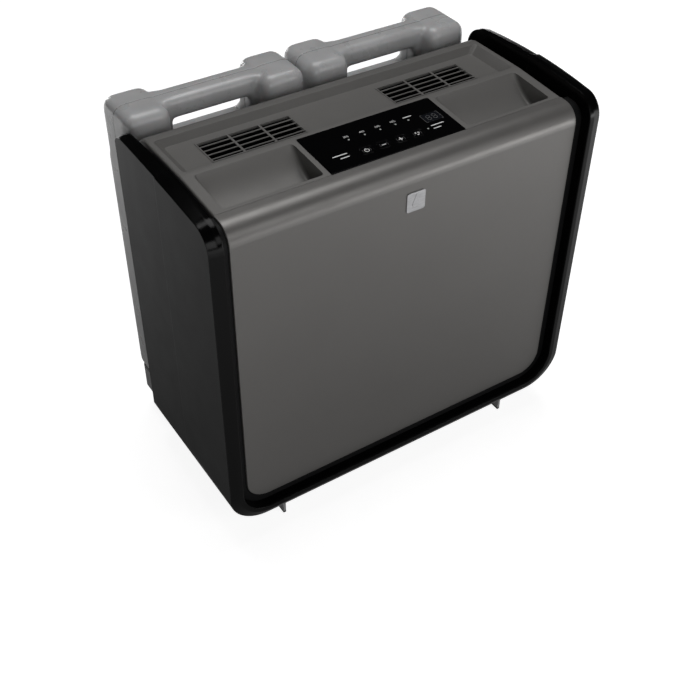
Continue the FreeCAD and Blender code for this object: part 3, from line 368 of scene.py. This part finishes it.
def finishes():
    """One material for each of the record's slots."""
    return {
        "pewter": pewter("pewter_top", (0.150, 0.146, 0.140), 0.50, 0.25, 1500.0, 0.00005),
        "frame_gloss_black": case_black("frame_gloss_black"),
        "side_black": case_black("side_black"),
        "inner_black": moulded("inner_black", (0.004, 0.004, 0.0042), 0.6, Specular_IOR_Level=0.15),
        "base_grey": moulded("base_grey", (0.33, 0.33, 0.333), 0.48),
        "tank_grey": blow_moulded(),
        "cap_black": moulded("cap_black", (0.02, 0.02, 0.021), 0.45),
        "fascia_gloss_black": gloss("fascia_gloss_black", (0.0015, 0.0015, 0.0018), 0.12, 0.2),
        "display_lens": gloss("display_lens", (0.008, 0.009, 0.012), 0.08, 0.4),
        "light_pipe": moulded("light_pipe", (0.55, 0.58, 0.56), 0.2, depth=0.00001),
        "board_green": circuit_board(),
        "badge_metal": metal("badge_metal", (0.42, 0.42, 0.43), 0.38, (0.08, 1.0, 1.0)),
        "motor_steel": metal("motor_steel", (0.42, 0.42, 0.43), 0.4, (1.0, 1.0, 0.1)),
        "steel": metal("steel", (0.60, 0.60, 0.61), 0.28, (1.0, 1.0, 0.1)),
        "brass": metal("brass", (0.70, 0.50, 0.20), 0.3, (1.0, 1.0, 0.1)),
        "white_plastic": moulded("white_plastic", (0.66, 0.66, 0.64), 0.42, mottle=0.03),
        "fan_plastic": moulded("fan_plastic", (0.03, 0.03, 0.031), 0.4),
        "float_foam": foam(),
        "wick_paper": wick_paper(),
        "soft_rubber": moulded("soft_rubber", (0.018, 0.018, 0.018), 0.75, grain=900.0, depth=0.00008),
    }


def dress(node, material):
    mesh = nodes[node].data
    mesh.materials.clear()
    mesh.materials.append(material)


def dress_all(slots):
    for entry in frame["record"]["subparts"]:
        dress(entry["node"], slots[entry["material_slot"]])
    dress("front_panel", pewter("pewter_front", (0.165, 0.160, 0.154), 0.40, 0.45, 900.0, 0.00001))


# ---- mesh helpers -------------------------------------------------------------------
def add_object(name, mesh):
    made = bpy.data.objects.new(name, mesh)
    bpy.context.scene.collection.objects.link(made)
    return made


def mesh_from(bm, name):
    mesh = bpy.data.meshes.new(name)
    bm.to_mesh(mesh)
    bm.free()
    return mesh


def rounded_box(bm, low, high, radius):
    """Adds a box with rounded edges to bm."""
    low, high = Vector(low), Vector(high)
    made = bmesh.ops.create_cube(bm, size=1.0)["verts"]
    size = high - low
    for vertex in made:
        vertex.co = Vector(a * b for a, b in zip(vertex.co, size)) + (low + high) / 2
    edges = list({edge for vertex in made for edge in vertex.link_edges})
    bmesh.ops.bevel(bm, geom=edges, offset=radius, segments=5, profile=0.5, affect="EDGES")


def prism_x(bm, outline, x0, x1):
    """Adds a prism along X over a closed (y, z) outline."""
    near = [bm.verts.new((x0, y, z)) for y, z in outline]
    far = [bm.verts.new((x1, y, z)) for y, z in outline]
    bm.faces.new(near)
    bm.faces.new(list(reversed(far)))
    for index in range(len(outline)):
        after = (index + 1) % len(outline)
        bm.faces.new([near[after], near[index], far[index], far[after]])


# ---- bottles ------------------------------------------------------------------------
def body_top(half, shoulder, flat, rise):
    """Section of the body's top: it rises from both edges to a flat strip in the middle."""
    top, under, narrow = shoulder + rise, shoulder - TANK_UNDER, half - TANK_NECK_LAP
    return [(-half, shoulder), (-flat, top), (flat, top), (half, shoulder), (narrow, under), (-narrow, under)]


def tank_blank(wide, deep, tall):
    """Overlapping solids in mm that together make up a bottle; the neck's end is at z = 0."""
    bm = bmesh.new()
    x, y = wide / 2, deep / 2
    shoulder = tall - TANK_HEAD
    rounded_box(bm, (-x, -y, TANK_SHOULDER - TANK_NECK_LAP), (x, y, shoulder + TANK_LAP), BODY_ROUND)
    for side in (-1, 1):
        inner, outer = sorted((side * TANK_HUMP, side * x))
        rounded_box(bm, (inner, -y, shoulder - TANK_HUMP_ROOT), (outer, y, tall), HUMP_ROUND)
        leg, end = sorted((side * TANK_SLOT, side * (TANK_HUMP + TANK_LEG_ROOT)))
        rounded_box(bm, (leg, -TANK_BAR, shoulder - TANK_LEG_UNDER),
                    (end, TANK_BAR, tall - TANK_LEG_DROP), LEG_ROUND)
        prism_x(bm, body_top(y, shoulder, TANK_BAR, TANK_SLOPE), leg, end)
    sill_end = TANK_SLOT + TANK_LAP
    prism_x(bm, body_top(y, shoulder, y - TANK_SILL_EDGE, TANK_SILL), -sill_end, sill_end)
    bar_end = TANK_HUMP + TANK_BAR_ROOT
    rounded_box(bm, (-bar_end, -TANK_BAR, tall - TANK_BAR_TALL),
                (bar_end, TANK_BAR, tall - TANK_BAR_DROP), BODY_ROUND)
    neck = bmesh.ops.create_cone(bm, cap_ends=True, segments=NECK_SIDES, radius1=NECK_RADIUS,
                                 radius2=NECK_RADIUS, depth=NECK_TALL)["verts"]
    bmesh.ops.translate(bm, verts=neck, vec=(0, 0, NECK_TALL / 2))
    bmesh.ops.recalc_face_normals(bm, faces=bm.faces)
    return bm


def melted(blank, name):
    """One skin over the overlapping solids, with softened edges."""
    source = add_object(name + "_blank", mesh_from(blank, name + "_blank"))
    remesh = source.modifiers.new("skin", "REMESH")
    remesh.mode = "VOXEL"
    remesh.voxel_size = TANK_VOXEL
    soften = source.modifiers.new("soften", "SMOOTH")
    soften.factor = SOFTEN_SHARE
    soften.iterations = SOFTEN_TIMES
    ready = source.evaluated_get(bpy.context.evaluated_depsgraph_get())
    mesh = bpy.data.meshes.new_from_object(ready)
    bpy.data.objects.remove(source)
    return mesh


def score_parting_line(mesh):
    """Cuts a narrow V groove round the bottle, where the two halves of the mould met."""
    bm = bmesh.new()
    bm.from_mesh(mesh)
    for offset in (-GROOVE_WIDE, 0.0, GROOVE_WIDE):
        bmesh.ops.bisect_plane(bm, geom=bm.verts[:] + bm.edges[:] + bm.faces[:], dist=0.01,
                               plane_co=(0, offset, 0), plane_no=(0, 1, 0))
    bm.normal_update()
    for vertex in bm.verts:
        if abs(vertex.co.y) < GROOVE_REACH:
            vertex.co -= vertex.normal * GROOVE_DEEP
    bm.to_mesh(mesh)
    bm.free()


def make_tanks(material):
    low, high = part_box("left_tank")
    size = (high - low) / MM
    mesh = melted(tank_blank(size.x, size.y, size.z), "tank")
    score_parting_line(mesh)
    mesh.transform(Matrix.Scale(MM, 4))
    for polygon in mesh.polygons:
        polygon.use_smooth = True
    mesh.materials.clear()
    mesh.materials.append(material)
    for side in SIDES:
        low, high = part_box(side + "_tank")
        own = mesh.copy()
        own.transform(Matrix.Translation(((low.x + high.x) / 2, (low.y + high.y) / 2, low.z)))
        tank = add_object(side + "_tank_shell", own)
        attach(tank, side + "_bottle")
        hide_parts(side + "_tank")


# ---- printing on the controls --------------------------------------------------------
class Printing:
    """Flat marks just above the sloped fascia, gathered into one piece."""

    def __init__(self):
        self.bm = bmesh.new()
        low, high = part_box("control_fascia")
        self.front, self.back = low.y, high.y
        self.front_z, self.back_z = low.z + FASCIA_THICK * MM, high.z

    def height(self, y):
        share = (y - self.front) / (self.back - self.front)
        return self.front_z + share * (self.back_z - self.front_z)

    def shape(self, outline, lift=0.0):
        """A closed outline in metres, laid on the slope and given a little thickness."""
        rise = (PRINT_LIFT + lift) * MM
        under = [self.bm.verts.new((x, y, self.height(y) + rise)) for x, y in outline]
        over = [self.bm.verts.new(v.co + Vector((0, 0, PRINT_THICK * MM))) for v in under]
        self.bm.faces.new(list(reversed(under)))
        self.bm.faces.new(over)
        for index in range(len(outline)):
            after = (index + 1) % len(outline)
            self.bm.faces.new([under[index], under[after], over[after], over[index]])

    def bar(self, x, y, wide, tall, lift=0.0):
        """A bar with round ends."""
        radius = min(wide, tall) / 2
        points = []
        for quarter, (sx, sy) in enumerate(((1, 1), (-1, 1), (-1, -1), (1, -1))):
            for step in range(4):
                turn = math.radians(90 * quarter + 30 * step)
                points.append(((x + sx * (wide / 2 - radius) + radius * math.cos(turn)) * MM,
                               (y + sy * (tall / 2 - radius) + radius * math.sin(turn)) * MM))
        self.shape(points, lift)

    def ring(self, x, y, radius, wide, start, end, lift):
        """Part of a ring, from one angle to another, in degrees."""
        steps = max(4, int((end - start) / 12))
        turns = [math.radians(start + (end - start) * i / steps) for i in range(steps + 1)]
        for a, b in zip(turns, turns[1:]):
            corners = [(b, radius), (b, radius + wide), (a, radius + wide), (a, radius)]
            self.shape([((x + r * math.cos(t)) * MM, (y + r * math.sin(t)) * MM) for t, r in corners], lift)

    def text(self, words, x, y, size):
        """Numerals in the plain built-in face."""
        curve = bpy.data.curves.new("numerals", "FONT")
        curve.body = words
        curve.size = size * MM
        curve.align_x, curve.align_y = "CENTER", "CENTER"
        curve.extrude = PRINT_THICK * MM / 2
        made = add_object("numerals", curve)
        mesh = bpy.data.meshes.new_from_object(made)
        bpy.data.objects.remove(made)
        tilt = math.atan2(self.back_z - self.front_z, self.back - self.front)
        lift = self.height(y * MM) + (PRINT_LIFT + PRINT_THICK) * MM
        mesh.transform(Matrix.Translation((x * MM, y * MM, lift)) @ Matrix.Rotation(tilt, 4, "X"))
        self.bm.from_mesh(mesh)

    def finish(self, name, body, material):
        piece = add_object(name, mesh_from(self.bm, name))
        piece.data.materials.append(material)
        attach(piece, body)


def ink(name, tone):
    """Screen-printed ink: slightly uneven cover."""
    shader = Shader(name)
    cover = shader.noise(1800.0, 3.0)
    shader.colour(shader.tones(cover, (tone, tone, tone), 0.85, 1.0))
    shader.roughness(shader.spread(cover, 0.5, 0.65))
    shader.bump(cover, 0.00001)
    return shader.material


def print_labels(white):
    """Marks on the fascia itself; words are plain bars, and the humidity steps are numerals."""
    low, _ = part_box("control_fascia")
    row = low.y / MM + NUMERAL_ROW
    labels = Printing()
    for percent, x in NUMERALS:
        labels.text(percent, x, row, NUMERAL_SIZE)
    x, wide, tall = ROW_BAR
    labels.bar(x, row, wide, tall)
    for x, wide, drop in WORD_BARS:
        labels.bar(x, row + drop, wide, WORD_TALL)
    labels.finish("fascia_labels", "top_module", white)


def print_display(grey):
    """Corner brackets round the display window, and two unlit digits in it."""
    faint = Printing()
    window_low, window_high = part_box("display_window")
    x0, x1 = window_low.x / MM, window_high.x / MM
    y0, y1 = window_low.y / MM, window_high.y / MM
    middle = (y0 + y1) / 2
    hook_offset, hook_long, hook_lift = WINDOW_HOOK
    for x, inward in ((x0 - WINDOW_GAP, 1), (x1 + WINDOW_GAP, -1)):
        faint.bar(x, middle, WINDOW_LINE, y1 - y0)
        for y in (y0, y1):
            faint.bar(x + inward * hook_offset, y, hook_long, WINDOW_LINE, hook_lift)
    half_wide, half_tall = DIGIT_HALF
    level, upright = DIGIT_STROKES
    for index in range(2):
        centre = (x0 + x1) / 2 + (index - 0.5) * DIGIT_PITCH
        for y in (middle - half_tall, middle, middle + half_tall):
            faint.bar(centre, y, level, DIGIT_LINE, DIGIT_LIFT)
        for x in (centre - half_wide, centre + half_wide):
            for y in (middle - half_tall / 2, middle + half_tall / 2):
                faint.bar(x, y, DIGIT_LINE, upright, DIGIT_LIFT)
    faint.finish("display_outline", "top_module", grey)


def key_centre(key):
    low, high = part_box("key_" + key)
    return (low.x + high.x) / 2 / MM, (low.y + high.y) / 2 / MM


def print_keys(white, grey):
    """A symbol on each key, between two faint brackets."""
    for key in KEYS:
        x, y = key_centre(key)
        symbol = Printing()
        if key == "power":
            radius, line = POWER_RING
            offset, tall = POWER_BAR
            symbol.ring(x, y, radius, line, 115, 425, KEY_LIFT)
            symbol.bar(x, y + offset, line, tall, KEY_LIFT)
        elif key == "minus":
            symbol.bar(x, y, MINUS_LONG, SIGN_LINE, KEY_LIFT)
        elif key == "plus":
            symbol.bar(x, y, PLUS_LONG, SIGN_LINE, KEY_LIFT)
            symbol.bar(x, y, SIGN_LINE, PLUS_LONG, KEY_LIFT + CROSSING_LIFT)
        else:
            radius, line = FAN_BLADE
            for index in range(FAN_BLADES):
                turn = 120 * index + 20
                ox = x + FAN_RADIUS * math.cos(math.radians(turn))
                oy = y + FAN_RADIUS * math.sin(math.radians(turn))
                symbol.ring(ox, oy, radius, line, turn - 60, turn + 110, KEY_LIFT)
        symbol.finish("symbol_" + key, "key_" + key + "_body", white)
        brackets = Printing()
        radius, line = KEY_BRACKET
        for start in (150, -30):
            brackets.ring(x, y, radius, line, start, start + 60, KEY_LIFT)
        brackets.finish("brackets_" + key, "key_" + key + "_body", grey)


# ---- studio ------------------------------------------------------------------------
def camera():
    azimuth, elevation, roll = (math.radians(a) for a in (CAMERA_AZIMUTH, CAMERA_ELEVATION, CAMERA_ROLL))
    level = math.cos(elevation)
    back = Vector((math.sin(azimuth) * level, -math.cos(azimuth) * level, math.sin(elevation)))
    right = Vector((math.cos(azimuth), math.sin(azimuth), 0.0))
    up = back.cross(right)
    turned_right = right * math.cos(roll) + up * math.sin(roll)
    turned_up = up * math.cos(roll) - right * math.sin(roll)
    data = bpy.data.cameras.new("camera")
    data.lens = CAMERA_LENS
    data.sensor_width = CAMERA_SENSOR
    made = add_object("camera", data)
    rotation = Matrix((turned_right, turned_up, back)).transposed().to_4x4()
    made.matrix_world = Matrix.Translation(CAMERA_PLACE) @ rotation
    bpy.context.scene.camera = made


def softbox(name, place, target, size, power):
    data = bpy.data.lights.new(name, "AREA")
    data.shape = "RECTANGLE"
    data.size, data.size_y = size
    data.energy = power
    made = add_object(name, data)
    made.location = place
    made.rotation_mode = "QUATERNION"
    made.rotation_quaternion = (Vector(target) - Vector(place)).to_track_quat("-Z", "Y")


def by_ray(tree, surface, seen, mirrored, other):
    """Feeds a surface with one shader for the camera, one for reflections and one for the rest."""
    path = tree.nodes.new("ShaderNodeLightPath")
    bounced = tree.nodes.new("ShaderNodeMixShader")
    tree.links.new(path.outputs["Is Glossy Ray"], bounced.inputs["Fac"])
    tree.links.new(other, bounced.inputs[1])
    tree.links.new(mirrored, bounced.inputs[2])
    mix = tree.nodes.new("ShaderNodeMixShader")
    tree.links.new(path.outputs["Is Camera Ray"], mix.inputs["Fac"])
    tree.links.new(bounced.outputs["Shader"], mix.inputs[1])
    tree.links.new(seen, mix.inputs[2])
    tree.links.new(mix.outputs["Shader"], surface)


def floor():
    """White sweep: evenly bright to the eye; in reflections a painted glow, quieter near the object as a
    painted shadow.
    """
    bm = bmesh.new()
    bmesh.ops.create_grid(bm, x_segments=8, y_segments=8, size=FLOOR_HALF)
    sweep = add_object("floor", mesh_from(bm, "floor"))
    sweep.location.z = -FLOOR_DROP
    shader = Shader("floor_paper")
    shader.colour(shader.ramp(shader.noise(30.0, 2.0), [(0.3, (0.49,) * 3), (0.7, (0.51,) * 3)]))
    shader.set(Roughness=0.9, Specular_IOR_Level=0.0, Emission_Strength=FLOOR_SEEN)
    shader.set(Emission_Color=(1, 1, 1, 1))
    # painted shadow in reflections: the floor's reflected glow is dark near the object and brightens with
    # distance from it
    span = shader.add("ShaderNodeVectorMath", operation="LENGTH")
    shader.link(shader.place, span.inputs[0])
    distance = shader.spread(span.outputs["Value"], 0.0, 1.0, FLOOR_PAINTED_SHADOW_NEAR, FLOOR_PAINTED_SHADOW_FAR)
    mirrored = shader.add("ShaderNodeEmission")
    mirrored.inputs["Strength"].default_value = FLOOR_PAINTED_REFLECTION
    shader.link(shader.ramp(distance, [(0.0, (0.12,) * 3), (1.0, (1.0,) * 3)]), mirrored.inputs["Color"])
    dim = shader.add("ShaderNodeBsdfDiffuse")
    dim.inputs["Color"].default_value = (0.20, 0.20, 0.20, 1)
    by_ray(shader.tree, shader.tree.nodes["Material Output"].inputs["Surface"],
           shader.principled.outputs["BSDF"], mirrored.outputs["Emission"], dim.outputs["BSDF"])
    sweep.data.materials.append(shader.material)


def surroundings():
    """White to the camera, and close to dark for everything else."""
    world = bpy.data.worlds.new("studio")
    world.use_nodes = True
    bpy.context.scene.world = world
    tree = world.node_tree
    fill = tree.nodes["Background"]
    fill.inputs["Color"].default_value = (1, 1, 1, 1)
    fill.inputs["Strength"].default_value = WORLD_FILL
    mirrored = tree.nodes.new("ShaderNodeBackground")
    mirrored.inputs["Strength"].default_value = WORLD_MIRRORED
    seen = tree.nodes.new("ShaderNodeBackground")
    seen.inputs["Strength"].default_value = WORLD_SEEN
    by_ray(tree, tree.nodes["World Output"].inputs["Surface"], seen.outputs["Background"],
           mirrored.outputs["Background"], fill.outputs["Background"])
    bpy.context.scene.view_settings.view_transform = "Standard"


def lights():
    middle = (0, 0, 0.3)
    softbox("overhead", (0.25, 0.45, 2.6), middle, (1.6, 1.3), 28)
    softbox("horizon", (2.0, -2.3, 0.30), (0, -0.1, 0.3), (1.8, 0.5), 17)
    softbox("front_left", (-1.2, -2.7, 1.3), middle, (1.3, 1.3), 18)
    softbox("front_right", (1.1, -2.5, 1.7), middle, (1.3, 1.3), 12)
    softbox("grazing", (-0.42, 3.0, 0.8), (-0.3, 0.1, 0.3), (0.4, 0.8), 14)


slots = finishes()
dress_all(slots)
make_tanks(slots["tank_grey"])
white_ink, grey_ink = ink("white_ink", 0.82), ink("grey_ink", 0.10)
print_labels(white_ink)
print_display(grey_ink)
print_keys(white_ink, grey_ink)
camera()
floor()
surroundings()
lights()
